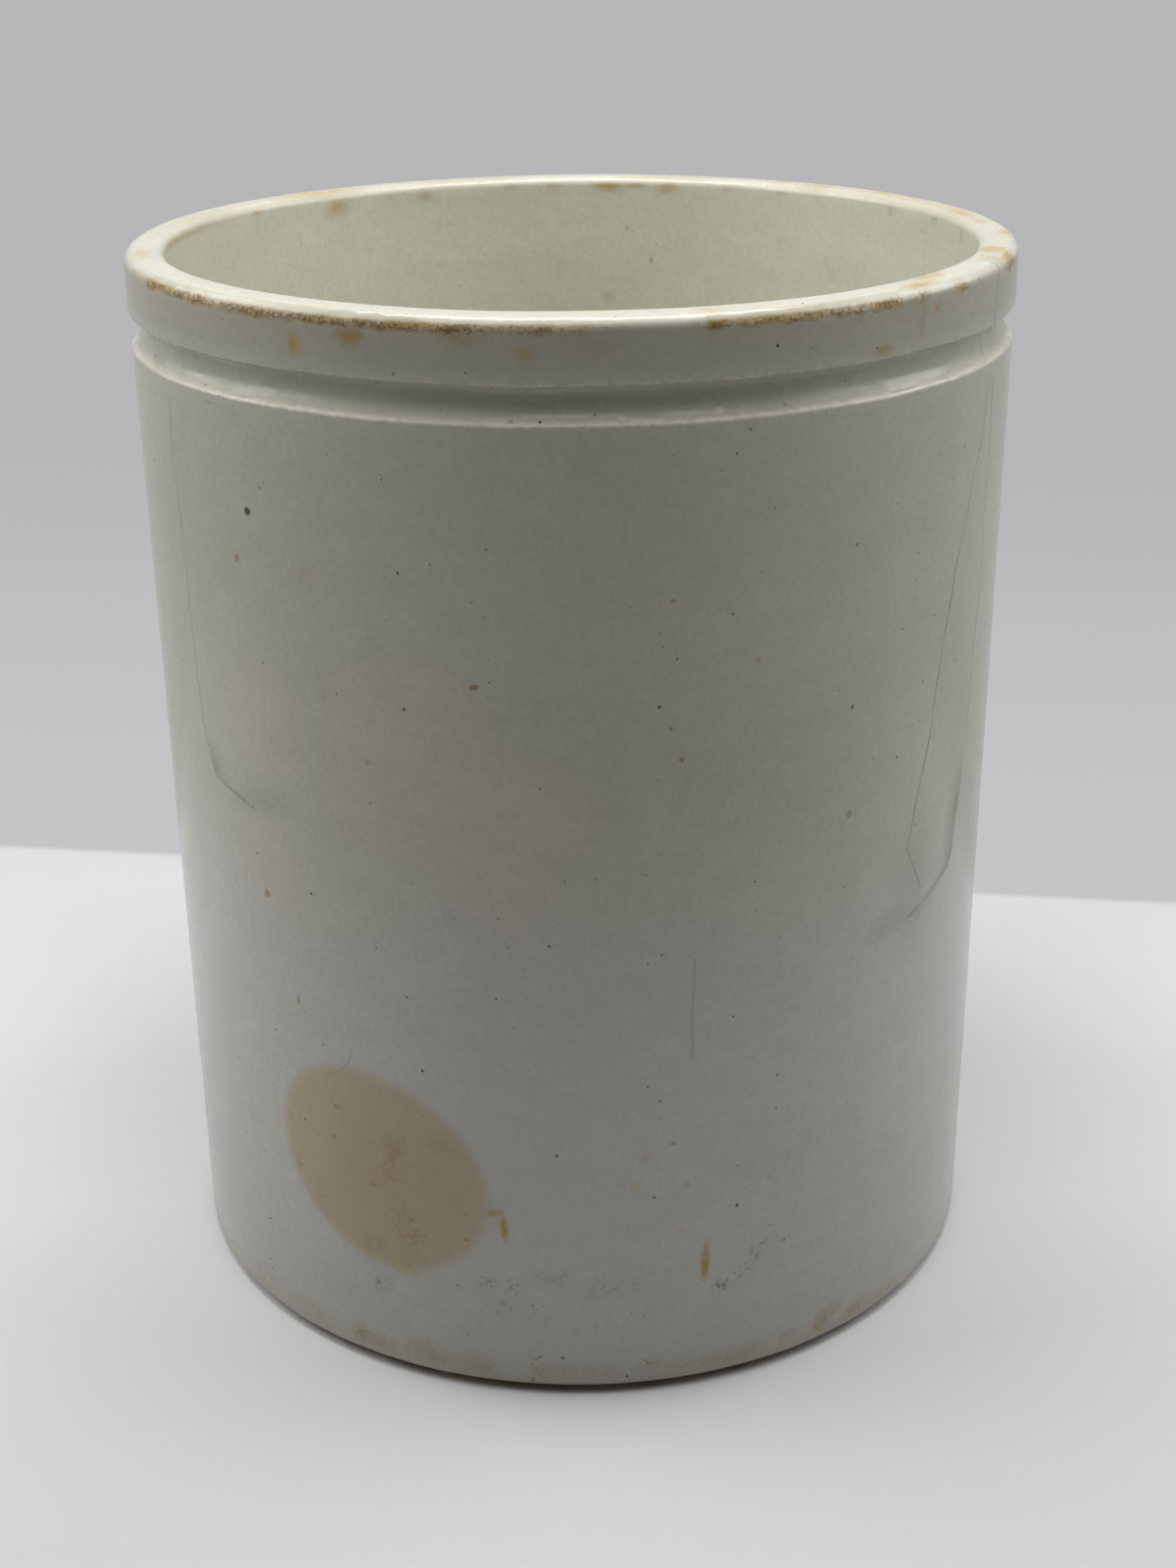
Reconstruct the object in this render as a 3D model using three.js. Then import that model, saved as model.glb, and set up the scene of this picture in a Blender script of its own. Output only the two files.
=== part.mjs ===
// A straight-sided marmalade jar of glazed white earthenware, with a groove under its rim for a tied-down cover.
// Millimetres, +Z up. The origin is the centre of the plane that the jar stands on.

import * as THREE from 'three';

// Overall size, over the glaze
const JAR_HEIGHT = 138;
const RIM_DIAMETER = 112;

// Rim band
const RIM_WALL = 4.9;
const RIM_BAND_HEIGHT = 7.3;
const RIM_OUTER_ROUNDING = 1.2;
const RIM_INNER_ROUNDING = 1.2;
const BAND_EDGE_ROUNDING = 0.4;

// Tie groove under the band: a hollow with a sloping lower side
const GROOVE_HEIGHT = 4.2;
const GROOVE_DEPTH = 1.7;
const GROOVE_TOP_ROUNDING = 1.2;
const GROOVE_SLOPE_DEGREES = 35;
const GROOVE_SLOPE_ROUNDING = 3;

// Wall: how far the shoulder stands back from the rim, and the foot from the shoulder
const SHOULDER_SETBACK = 0.13;
const SHOULDER_ROUNDING = 0.5;
const FOOT_TAPER = 0.81;

// Base: its thickness is from the standing plane to the inside floor
const FOOT_WALL = 5.2;
const BASE_THICKNESS = 6.5;
const FLOOR_ROUNDING = 6;
const RECESS_DEPTH = 1.5;
const RECESS_SLOPE_WIDTH = 1.5;

// Foot: the wall ends in a low bevel, so the jar stands on a ring that is set back under it
const FOOT_BEVEL_HEIGHT = 0.8;
const FOOT_BEVEL_WIDTH = 2.5;
const FOOT_ROUNDING = 0.3;
const STANDING_RING_WIDTH = 6;

// Glaze coat: it stops at a line above the foot, and the bond gap is the thin layer that separates it from the clay
const GLAZE_THICKNESS = 0.35;
const GLAZE_LINE_HEIGHT = 1.1;
const BOND_GAP = 0.02;

// Fineness of the turned shapes
const SIDES = 48;
const ARC_STEP_DEGREES = 30;

// Places that follow from the sizes
const rimRadius = RIM_DIAMETER / 2;
const shoulderRadius = rimRadius - SHOULDER_SETBACK;
const footRadius = shoulderRadius - FOOT_TAPER;
const bandBottom = JAR_HEIGHT - RIM_BAND_HEIGHT;
const shoulderHeight = bandBottom - GROOVE_HEIGHT;
const grooveRadius = rimRadius - GROOVE_DEPTH;
const slopeRise = (shoulderRadius - grooveRadius) * Math.tan(THREE.MathUtils.degToRad(GROOVE_SLOPE_DEGREES));

// A corner of a section: its distance from the axis, its height and the radius that rounds it.
function corner(radius, height, rounding = 0) {
  return { point: new THREE.Vector2(radius, height), rounding };
}

// The finished surface, from the foot up the outside, over the rim and down to the middle of the inside floor.
// The material lies to the left of the way it runs.
const finishedSurface = [
  corner(footRadius, 0),
  corner(shoulderRadius, shoulderHeight, SHOULDER_ROUNDING),
  corner(grooveRadius, shoulderHeight + slopeRise, GROOVE_SLOPE_ROUNDING),
  corner(grooveRadius, bandBottom, GROOVE_TOP_ROUNDING),
  corner(rimRadius, bandBottom, BAND_EDGE_ROUNDING),
  corner(rimRadius, JAR_HEIGHT, RIM_OUTER_ROUNDING),
  corner(rimRadius - RIM_WALL, JAR_HEIGHT, RIM_INNER_ROUNDING),
  corner(footRadius - FOOT_WALL, BASE_THICKNESS, FLOOR_ROUNDING),
  corner(0, BASE_THICKNESS),
];

// The sideways step that takes the edge from one point to the next a given depth into the material.
function sidestep(from, to, depth) {
  const along = to.clone().sub(from).normalize();
  return new THREE.Vector2(-along.y, along.x).multiplyScalar(depth);
}

// The point where the edges before and after a corner meet once both are moved a given depth into the material.
function insetCorner(before, point, after, depth) {
  const start = before.clone().add(sidestep(before, point, depth));
  const target = point.clone().add(sidestep(point, after, depth));
  const along = point.clone().sub(before);
  const onward = after.clone().sub(point);
  const share = target.sub(start).cross(onward) / along.cross(onward);
  return start.addScaledVector(along, share);
}

// The same surface a given depth inside the material: outer corners get tighter and inner corners wider.
function insetSurface(corners, depth) {
  const last = corners.length - 1;
  return corners.map(({ point, rounding }, i) => {
    if (i === 0) {
      return { point: point.clone().add(sidestep(point, corners[1].point, depth)), rounding };
    }
    const before = corners[i - 1].point;
    if (i === last) {
      return { point: point.clone().add(sidestep(before, point, depth)), rounding };
    }
    const after = corners[i + 1].point;
    const isOuter = point.clone().sub(before).cross(after.clone().sub(point)) > 0;
    const changed = isOuter ? Math.max(rounding - depth, 0) : rounding + depth;
    return { point: insetCorner(before, point, after, depth), rounding: changed };
  });
}

// The surface cut off at a height on its first edge, the outside wall.
function startingAt(corners, height, rounding = 0) {
  const [foot, shoulder] = corners;
  const share = (height - foot.point.y) / (shoulder.point.y - foot.point.y);
  const start = foot.point.clone().lerp(shoulder.point, share);
  return [corner(start.x, start.y, rounding), ...corners.slice(1)];
}

// Length that a corner's rounding takes from each of its two edges.
function tangentLength(corners, i) {
  if (i === 0 || i === corners.length - 1 || corners[i].rounding === 0) {
    return 0;
  }
  const back = corners[i - 1].point.clone().sub(corners[i].point);
  const on = corners[i + 1].point.clone().sub(corners[i].point);
  return corners[i].rounding / Math.tan(back.angleTo(on) / 2);
}

// Replaces each rounded corner by an arc, made smaller where its edges are too short for it.
function roundedSection(corners) {
  const lengths = corners.map((_, i) => tangentLength(corners, i));
  const edgeShare = (i, j) => {
    const needed = lengths[i] + lengths[j];
    const edge = corners[i].point.distanceTo(corners[j].point);
    return needed > edge ? edge / needed : 1;
  };
  return corners.flatMap(({ point, rounding }, i) => {
    if (lengths[i] === 0) {
      return [point];
    }
    const share = Math.min(edgeShare(i - 1, i), edgeShare(i, i + 1));
    const back = corners[i - 1].point.clone().sub(point).normalize();
    const on = corners[i + 1].point.clone().sub(point).normalize();
    const halfAngle = back.angleTo(on) / 2;
    const radius = rounding * share;
    const inwards = back.clone().add(on).normalize();
    const centre = point.clone().addScaledVector(inwards, radius / Math.sin(halfAngle));
    const first = point.clone().addScaledVector(back, lengths[i] * share).sub(centre);
    const last = point.clone().addScaledVector(on, lengths[i] * share).sub(centre);
    const clockwise = back.cross(on) > 0;
    const arc = new THREE.ArcCurve(centre.x, centre.y, radius, first.angle(), last.angle(), clockwise);
    const sweep = Math.PI - 2 * halfAngle;
    return arc.getPoints(Math.ceil(sweep / THREE.MathUtils.degToRad(ARC_STEP_DEGREES)));
  });
}

// Spins a section about the jar's axis into a named solid.
function turnedSolid(name, section, material) {
  const geometry = new THREE.LatheGeometry(section, SIDES);
  geometry.rotateX(Math.PI / 2);
  const mesh = new THREE.Mesh(geometry, material);
  mesh.name = name;
  return mesh;
}

// The fired clay pot: bare underneath, with a standing ring round a shallow recess.
function clayBody() {
  const surface = insetSurface(finishedSurface, GLAZE_THICKNESS + BOND_GAP);
  const wall = startingAt(surface, FOOT_BEVEL_HEIGHT, FOOT_ROUNDING);
  const ringOutside = wall[0].point.x - FOOT_BEVEL_WIDTH;
  const ringInside = ringOutside - STANDING_RING_WIDTH;
  const underside = [
    corner(0, RECESS_DEPTH),
    corner(ringInside - RECESS_SLOPE_WIDTH, RECESS_DEPTH),
    corner(ringInside, 0),
    corner(ringOutside, 0),
  ];
  const material = new THREE.MeshStandardMaterial({ color: 0xcfc2a8, roughness: 0.9, metalness: 0 });
  return turnedSolid('clay_body', roundedSection([...underside, ...wall]), material);
}

// The fused glass skin: out along the clay to the glaze line, then back along the finished surface.
function glazeCoat() {
  const clayFace = startingAt(insetSurface(finishedSurface, GLAZE_THICKNESS), GLAZE_LINE_HEIGHT);
  const outerFace = startingAt(finishedSurface, GLAZE_LINE_HEIGHT);
  const section = [...roundedSection(clayFace).reverse(), ...roundedSection(outerFace)];
  const material = new THREE.MeshStandardMaterial({ color: 0xd6d6c9, roughness: 0.25, metalness: 0 });
  return turnedSolid('glaze_coat', section, material);
}

const jar = new THREE.Group();
jar.name = 'marmalade_jar';
jar.add(clayBody(), glazeCoat());

export default jar;
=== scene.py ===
import math
from functools import reduce
from typing import NamedTuple

import bmesh
import bpy
from bpy.props import FloatProperty, FloatVectorProperty, IntProperty, PointerProperty
from mathutils import Matrix, Vector


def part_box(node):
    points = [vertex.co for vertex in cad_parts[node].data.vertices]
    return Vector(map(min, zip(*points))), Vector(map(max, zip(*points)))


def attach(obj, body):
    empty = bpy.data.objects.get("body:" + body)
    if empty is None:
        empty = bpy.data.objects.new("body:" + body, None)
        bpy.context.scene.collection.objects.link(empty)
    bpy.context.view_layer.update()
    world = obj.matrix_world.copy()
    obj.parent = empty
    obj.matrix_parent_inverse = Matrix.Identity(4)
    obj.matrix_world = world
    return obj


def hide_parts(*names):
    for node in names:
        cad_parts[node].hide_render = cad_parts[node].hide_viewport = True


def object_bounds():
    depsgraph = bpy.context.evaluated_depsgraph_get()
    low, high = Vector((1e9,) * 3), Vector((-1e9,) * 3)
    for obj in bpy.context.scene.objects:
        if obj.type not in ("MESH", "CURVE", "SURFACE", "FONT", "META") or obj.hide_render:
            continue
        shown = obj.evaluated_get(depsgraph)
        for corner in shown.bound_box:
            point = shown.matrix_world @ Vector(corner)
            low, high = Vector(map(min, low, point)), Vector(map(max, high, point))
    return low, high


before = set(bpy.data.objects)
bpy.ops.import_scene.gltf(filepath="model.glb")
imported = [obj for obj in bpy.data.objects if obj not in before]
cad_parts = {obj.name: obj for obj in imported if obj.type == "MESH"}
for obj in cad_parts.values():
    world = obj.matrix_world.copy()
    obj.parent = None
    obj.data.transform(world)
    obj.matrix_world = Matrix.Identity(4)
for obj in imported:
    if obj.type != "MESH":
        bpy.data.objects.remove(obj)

bl_info = {
    "name": "Marmalade jar",
    "version": (1, 0, 0),
    "blender": (4, 5, 0),
    "location": "View3D > Sidebar > Jar",
    "description": "A glazed earthenware marmalade jar: turned clay, a stained glaze coat and a plain stage",
    "category": "Add Mesh",
}

MM = 0.001

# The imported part, in metres: the corners of its box, and the upper ones of its glaze coat and clay body
CAD_LOW, CAD_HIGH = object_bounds()
_, GLAZE_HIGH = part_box("glaze_coat")
_, CLAY_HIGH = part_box("clay_body")
BOND_GAP = 0.02 * MM
GLAZE_THICKNESS = GLAZE_HIGH.z - CLAY_HIGH.z - BOND_GAP

# Millimetres round the rim in a degree
MM_A_DEGREE = math.radians(GLAZE_HIGH.x / MM)

# Distances from the axis, in millimetres, between which the inside gives way to the outside
WALL_MIDDLE = (53.0, 54.1)

# How far off a hairline is taken to be past its ends, in millimetres
FAR_AWAY = 1000

# The pieces' UV map wraps once round the axis, and gives faces that are never seen little room
WRAP_MAP = "OFBake"
SEEN_ROOM = 1.0
HIDDEN_ROOM = 0.04


# Kinds of setting, with lengths given in millimetres and angles in degrees
def number(name, description, default, **kind):
    return FloatProperty(name=name, description=description, default=default, **kind)


def length(name, description, default):
    return number(name, description, default * MM, unit="LENGTH")


def degrees(name, description, default):
    return number(name, description, math.radians(default), subtype="ANGLE")


def fraction(name, description, default):
    return number(name, description, default, min=0, max=1, subtype="FACTOR")


def shade(name, description, default):
    return FloatVectorProperty(name=name, description=description, default=default, subtype="COLOR")


class JarSizes(bpy.types.PropertyGroup):
    """Sizes of the jar, in metres and radians"""

    height: length("Height", "From the standing plane to the rim", GLAZE_HIGH.z / MM)
    rim_radius: length("Rim radius", "Outside of the rim band", GLAZE_HIGH.x / MM)
    rim_wall: length("Rim wall", "Thickness of the rim", 4.9)
    band_height: length("Band height", "From the rim down to the groove", 7.3)
    rim_rounding: length("Rim rounding", "Radius of the rim's worn outer edge", 1.5)
    mouth_rounding: length("Mouth rounding", "Radius of the rim's inner edge", 1.2)
    band_rounding: length("Band rounding", "Radius of the band's lower edge", 0.4)
    groove_height: length("Groove height", "From the band down to the shoulder", 4.2)
    groove_depth: length("Groove depth", "How far the groove is cut in", 1.7)
    groove_slope: degrees("Groove slope", "Rise of the groove's lower side", 30)
    groove_top_rounding: length("Groove top rounding", "Radius under the band", 1.2)
    groove_slope_rounding: length("Groove slope rounding", "Radius above the slope", 2.4)
    shoulder_setback: length("Shoulder set-back", "Shoulder inside the rim", 0.13)
    shoulder_rounding: length("Shoulder rounding", "Radius of the shoulder", 0.55)
    foot_taper: length("Foot taper", "Foot inside the shoulder", 0.81)
    foot_wall: length("Foot wall", "Wall at the base", 5.2)
    base_thickness: length("Base thickness", "Standing plane to inside floor", 6.5)
    floor_rounding: length("Floor rounding", "Radius inside, at the floor", 6)
    recess_depth: length("Recess depth", "Hollow under the base", 1.5)
    recess_slope: length("Recess slope", "Width of the recess's sloping side", 1.5)
    bevel_height: length("Bevel height", "Height of the foot's bevel", 1.25)
    bevel_width: length("Bevel width", "Width of the foot's bevel", 2.5)
    foot_rounding: length("Foot rounding", "Radius of the foot edge", 0.3)
    ring_width: length("Ring width", "Flat ring that the jar stands on", 6)
    glaze_line: length("Glaze line", "Height at which the glaze stops", 1.5)
    glaze_bead: length("Glaze bead", "Rounding where the glaze stops", 0.25)
    sides: IntProperty(name="Sides", description="Faces round the jar", default=400, min=24)
    lobe: length("Lobe", "How far the jar is out of round", 0.16)
    rim_wave: length("Rim wave", "How far the rim rises and falls", 0.14)
    ripple: length("Ripple", "Unevenness of the wall", 0.07)
    chip: length("Chip", "Depth of the nicks along the rim", 0.08)
    edge_wear: length("Edge wear", "How far the rim's outer edge is worn down", 0.12)
    groove_wave: length("Groove wave", "How far the groove rises and falls", 0.2)
    foot_wave: length("Foot wave", "How far the glaze line rises and falls", 0.25)


# Steps between a section's points: where marks are fine, on the wall, inside, and on plain and hidden faces
FINE_STEP = 0.8 * MM
WALL_STEP = 1.7 * MM
INSIDE_STEP = 1.5 * WALL_STEP
PLAIN_STEP = 4 * MM
HIDDEN_STEP = 25 * MM

# Turns between the points of a rounding: on bare clay, on covered clay, on the glaze and on its hidden face
BARE_ARC = math.radians(15)
COVERED_ARC = math.radians(20)
GLAZED_ARC = math.radians(13)
BONDED_ARC = math.radians(45)

# Where the glaze has fine steps: up to this far above the glaze line, and on this share of the inside wall
STAINED_FOOT = 8 * MM
STAINED_MOUTH = 0.03


class Corner(NamedTuple):
    """A corner of a section: its place, as distance from the axis and height, the radius that rounds it,
    and the longest step between points on the edge that leads to it"""

    point: Vector
    rounding: float = 0.0
    step: float = PLAIN_STEP


def corner(radius, height, rounding=0.0, step=PLAIN_STEP):
    return Corner(Vector((radius, height)), rounding, step)


def finished_surface(sizes):
    """Corners of the glazed surface, from the foot up, over the rim and down to the middle of the floor"""
    shoulder = sizes.rim_radius - sizes.shoulder_setback
    foot = shoulder - sizes.foot_taper
    band_bottom = sizes.height - sizes.band_height
    shoulder_height = band_bottom - sizes.groove_height
    groove = sizes.rim_radius - sizes.groove_depth
    slope_top = shoulder_height + (shoulder - groove) * math.tan(sizes.groove_slope)
    return [
        corner(foot, 0),
        corner(shoulder, shoulder_height, sizes.shoulder_rounding, WALL_STEP),
        corner(groove, slope_top, sizes.groove_slope_rounding, FINE_STEP),
        corner(groove, band_bottom, sizes.groove_top_rounding, FINE_STEP),
        corner(sizes.rim_radius, band_bottom, sizes.band_rounding, FINE_STEP),
        corner(sizes.rim_radius, sizes.height, sizes.rim_rounding, FINE_STEP),
        corner(sizes.rim_radius - sizes.rim_wall, sizes.height, sizes.mouth_rounding, FINE_STEP),
        corner(foot - sizes.foot_wall, sizes.base_thickness, sizes.floor_rounding, INSIDE_STEP),
        corner(0, sizes.base_thickness),
    ]


def sidestep(start, end, depth):
    """The step that moves the edge from start to end into the material, which lies to its left"""
    along = (end - start).normalized()
    return Vector((-along.y, along.x)) * depth


def inset_surface(corners, depth):
    """The same corners a given depth inside the material, where no face is seen"""
    points = [c.point for c in corners]
    moved = [Corner(points[0] + sidestep(points[0], points[1], depth))]
    for before, here, after in zip(corners, corners[1:], corners[2:]):
        along = here.point - before.point
        onward = after.point - here.point
        start = before.point + sidestep(before.point, here.point, depth)
        target = here.point + sidestep(here.point, after.point, depth)
        share = (target - start).cross(onward) / along.cross(onward)
        is_outer = along.cross(onward) > 0
        rounding = max(here.rounding - depth, 0) if is_outer else here.rounding + depth
        moved.append(Corner(start + along * share, rounding, HIDDEN_STEP))
    moved.append(Corner(points[-1] + sidestep(points[-2], points[-1], depth), 0.0, HIDDEN_STEP))
    return moved


def starting_at(corners, height, rounding=0.0):
    """The corners with the first one slid along the outside wall to a height"""
    foot, shoulder = corners[0].point, corners[1].point
    share = (height - foot.y) / (shoulder.y - foot.y)
    return [Corner(foot.lerp(shoulder, share), rounding), *corners[1:]]


def rounded_section(corners, arc_step):
    """Points along a section, with an arc at each rounded corner and the long edges split into even steps"""
    points = [corners[0].point]

    def line_to(end, step):
        start = points[-1]
        steps = math.ceil((end - start).length / step)
        points.extend(start.lerp(end, (i + 1) / steps) for i in range(steps))

    for before, here, after in zip(corners, corners[1:], corners[2:]):
        if here.rounding == 0:
            line_to(here.point, here.step)
            continue
        back = (before.point - here.point).normalized()
        onward = (after.point - here.point).normalized()
        half_angle = back.angle(onward) / 2
        reach = here.rounding / math.tan(half_angle)
        centre = here.point + (back + onward).normalized() * here.rounding / math.sin(half_angle)
        spoke = here.point + back * reach - centre
        turn = math.copysign(math.pi - 2 * half_angle, -back.cross(onward))
        line_to(here.point + back * reach, here.step)
        steps = math.ceil(abs(turn) / arc_step)
        points.extend(centre + Matrix.Rotation(turn * (i + 1) / steps, 2) @ spoke for i in range(steps))
    line_to(corners[-1].point, corners[-1].step)
    return points


class Wire:
    """A socket of a node tree that takes part in Python expressions, which add Math nodes"""

    def __init__(self, nodes, socket):
        self.nodes = nodes
        self.socket = socket

    def also(self, name):
        """Another output of the same node"""
        return Wire(self.nodes, self.socket.node.outputs[name])

    def math(self, operation, *others):
        inputs = dict(enumerate([self, *others]))
        return self.nodes.node("ShaderNodeMath", inputs, operation=operation)

    def __add__(self, other):
        return self.math("ADD", other)

    def __sub__(self, other):
        return self.math("SUBTRACT", other)

    def __rsub__(self, other):
        return self.nodes.node("ShaderNodeMath", {0: other, 1: self}, operation="SUBTRACT")

    def __mul__(self, other):
        return self.math("MULTIPLY", other)

    def __truediv__(self, other):
        return self.math("DIVIDE", other)

    def __neg__(self):
        return self.math("MULTIPLY", -1)

    def most(self, other):
        return self.math("MAXIMUM", other)

    def least(self, other):
        return self.math("MINIMUM", other)

    def step(self, low, high, before, after, shape="SMOOTHSTEP"):
        """One value below low, another above high, and a smooth step between"""
        inputs = {"Value": self, "From Min": low, "From Max": high, "To Min": before, "To Max": after}
        return self.nodes.node("ShaderNodeMapRange", inputs, interpolation_type=shape)

    def rise(self, low, high, amount=1.0):
        return self.step(low, high, 0, amount)

    def fall(self, low, high, amount=1.0):
        return self.step(low, high, amount, 0)


class Nodes:
    """A node tree, shader or geometry, that is written with Python expressions"""

    def __init__(self, tree):
        self.tree = tree

    def node(self, kind, inputs=None, output=None, **settings):
        """Adds a node: its settings first, then its sockets' values or links. Gives one output as a Wire.
        A colour of three values is opaque"""
        made = self.tree.nodes.new(kind)
        for name, value in settings.items():
            setattr(made, name, value)
        for key, value in (inputs or {}).items():
            socket = made.inputs[key] if isinstance(key, int) else self.open_socket(made.inputs, key)
            if isinstance(value, Wire):
                self.tree.links.new(value.socket, socket)
            elif socket.type == "RGBA" and len(value) == 3:
                socket.default_value = (*value, 1)
            else:
                socket.default_value = value
        if not made.outputs:
            return made
        return Wire(self, self.open_socket(made.outputs, output))

    def open_socket(self, sockets, name):
        """The first socket in use, of that name if one is given"""
        return next(s for s in sockets if s.enabled and name in (None, s.name))

    def vector(self, operation, *values):
        return self.node("ShaderNodeVectorMath", dict(enumerate(values)), operation=operation)

    def scaled(self, vector, scale):
        return self.node("ShaderNodeVectorMath", {"Vector": vector, "Scale": scale}, operation="SCALE")

    def joined(self, x=0.0, y=0.0, z=0.0):
        return self.node("ShaderNodeCombineXYZ", {"X": x, "Y": y, "Z": z})

    def noise(self, place, size, detail=2.0, roughness=0.5):
        """Cloudy noise with features of about that size, in the units of place"""
        inputs = {"Vector": place, "Scale": 1 / size, "Detail": detail, "Roughness": roughness}
        return self.node("ShaderNodeTexNoise", inputs)

    def mix(self, mask, under, over):
        """The colour over laid on the colour under, as far as the mask says"""
        inputs = {"Factor": mask, "A": under, "B": over}
        return self.node("ShaderNodeMix", inputs, data_type="RGBA")

    def surface(self, colour, roughness, relief):
        """Ends a material in one shader. The relief is in millimetres"""
        bump = self.node("ShaderNodeBump", {"Strength": 1.0, "Distance": MM, "Height": relief})
        inputs = {"Base Color": colour, "Roughness": roughness, "Normal": bump}
        shader = self.node("ShaderNodeBsdfPrincipled", inputs)
        self.node("ShaderNodeOutputMaterial", {"Surface": shader})


class Blot(NamedTuple):
    """A mark on the glaze: degrees from the front, millimetres up the wall, its width and height in
    millimetres, how strongly it shows, how soft its edge is and its tilt in degrees"""

    turn: float
    height: float
    wide: float
    tall: float
    strength: float = 1.0
    soft: float = 0.35
    tilt: float = 0.0


class Hairline(NamedTuple):
    """A crack or a scratch: its strength and its points from the lowest up, as degrees from the front and
    millimetres up the wall"""

    strength: float
    points: tuple


# Large soft differences in the wall's tint
PINK_CLOUDS = (
    Blot(-21, 91, 20, 15, 0.9, 0.6), Blot(-15, 81, 32, 16, 1, 0.5), Blot(-11, 72, 15, 20, 0.9, 0.6),
    Blot(-42, 88, 13, 15, 0.6, 0.7), Blot(-44, 68, 11, 15, 0.6, 0.7), Blot(-58, 72, 8, 11, 0.5, 0.7),
    Blot(118, 60, 30, 26, 0.7, 0.8), Blot(152, 96, 26, 18, 0.8, 0.7), Blot(-128, 82, 34, 22, 0.7, 0.8),
)

# An oval tan stain low on the left, with redder patches in it
TAN_OVAL = Blot(-28.2, 30, 31.3, 26.9, 1, 0.08, tilt=-23.5)
RED_PATCHES = (
    Blot(-24.5, 29, 19, 18, 0.4, 0.8), Blot(-25, 34, 4, 3.6, 0.8, 0.7), Blot(-25.7, 31, 3.6, 4, 0.8, 0.7),
    Blot(-24.4, 24, 4, 4, 0.9, 0.7), Blot(-23.2, 22, 4, 3, 1, 0.7), Blot(-18.3, 35.2, 6, 4, 0.5, 0.8),
    Blot(-23.6, 18.8, 4, 3, 0.6, 0.7), Blot(-29, 19, 5, 5, 0.5, 0.8),
)

# Yellow smears on the wall and on the rim band
YELLOW_SMEARS = (
    Blot(-33, 133.8, 1.6, 2.2, 0.9, 0.9), Blot(-5.3, 134.2, 2, 1.4, 0.7, 0.9),
    Blot(46.8, 135.4, 0.9, 1.5, 0.6, 0.5, tilt=-40), Blot(-11.5, 27, 2.2, 1.3, 0.9, 0.5, tilt=20),
    Blot(-10.4, 24.9, 1.1, 3.8, 1, 0.5, tilt=4), Blot(16, 18.8, 1.2, 5.2, 1, 0.45, tilt=-2),
    Blot(7.8, 35.1, 0.9, 2.4, 0.4, tilt=-25), Blot(6.9, 31.1, 1.2, 1, 0.4), Blot(13.5, 30.5, 0.9, 1.4, 0.5),
    Blot(12.9, 24.1, 0.9, 1, 0.4), Blot(-24.5, 16.2, 4, 2, 0.45, 0.6, tilt=-20),
    Blot(-33.7, 107.6, 2.4, 1.8, 0.2, 0.8),
)

# Brown iron spots, one black pinhole, two pale spots at the shoulder that are painted glints on glaze
# bubbles, and one grey spot
IRON_SPOTS = (
    Blot(-45, 107.5, 1.1, 0.9, 0.7, tilt=35), Blot(-12, 96.5, 1.1, 0.75), Blot(-44, 64.5, 1.15, 1.1, 0.9),
    Blot(-39.5, 51, 0.45, 1.2, 0.8), Blot(11, 106.5, 0.55, 0.45, 0.8),
    Blot(21.5, 98.5, 0.8, 0.6, 0.5, tilt=20), Blot(-34, 37.5, 0.8, 0.6, 0.8),
    Blot(-34.7, 33, 0.7, 0.6, 0.8), Blot(-3, 5.7, 0.55, 0.55),
)
PINHOLE = Blot(-42.3, 113.5, 0.95, 0.9)
PAINTED_GLINTS = (Blot(5.2, 127, 0.7, 0.6), Blot(16.5, 127.2, 1.1, 0.7))
GREY_SPOT = Blot(35.4, 76.5, 0.9, 0.9, 0.7)

# Grey dirt that has spread from the cracks, and scuffs near the foot
GREY_SMEARS = (
    Blot(45, 59.5, 9, 3, 0.6, 0.8, tilt=10), Blot(49, 63, 9, 16, 0.4, 0.9),
    Blot(-44, 76.8, 10, 3.4, 0.45, 0.8, tilt=8),
)
SCUFFS = (
    Blot(-13, 15.9, 2.6, 2.2), Blot(-10.7, 13, 2, 1.8), Blot(-9, 15.8, 2.6, 2), Blot(-4.4, 18, 4, 1.8, 0.7),
    Blot(-19.6, 13.7, 1.8, 1.6, 0.6), Blot(-28, 13, 2.2, 1.8), Blot(-6.4, 6.2, 1.8, 1.4),
    Blot(-0.5, 10.3, 1.8, 1.6, 0.7), Blot(4, 16.2, 8, 1.8, 0.5), Blot(18.2, 14.5, 3, 2, tilt=25),
    Blot(21.6, 16.2, 4.4, 2, 0.9, tilt=25), Blot(23.5, 18.8, 2.4, 3, 0.7, tilt=-40), Blot(19, 39, 1.4, 1),
)

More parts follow.
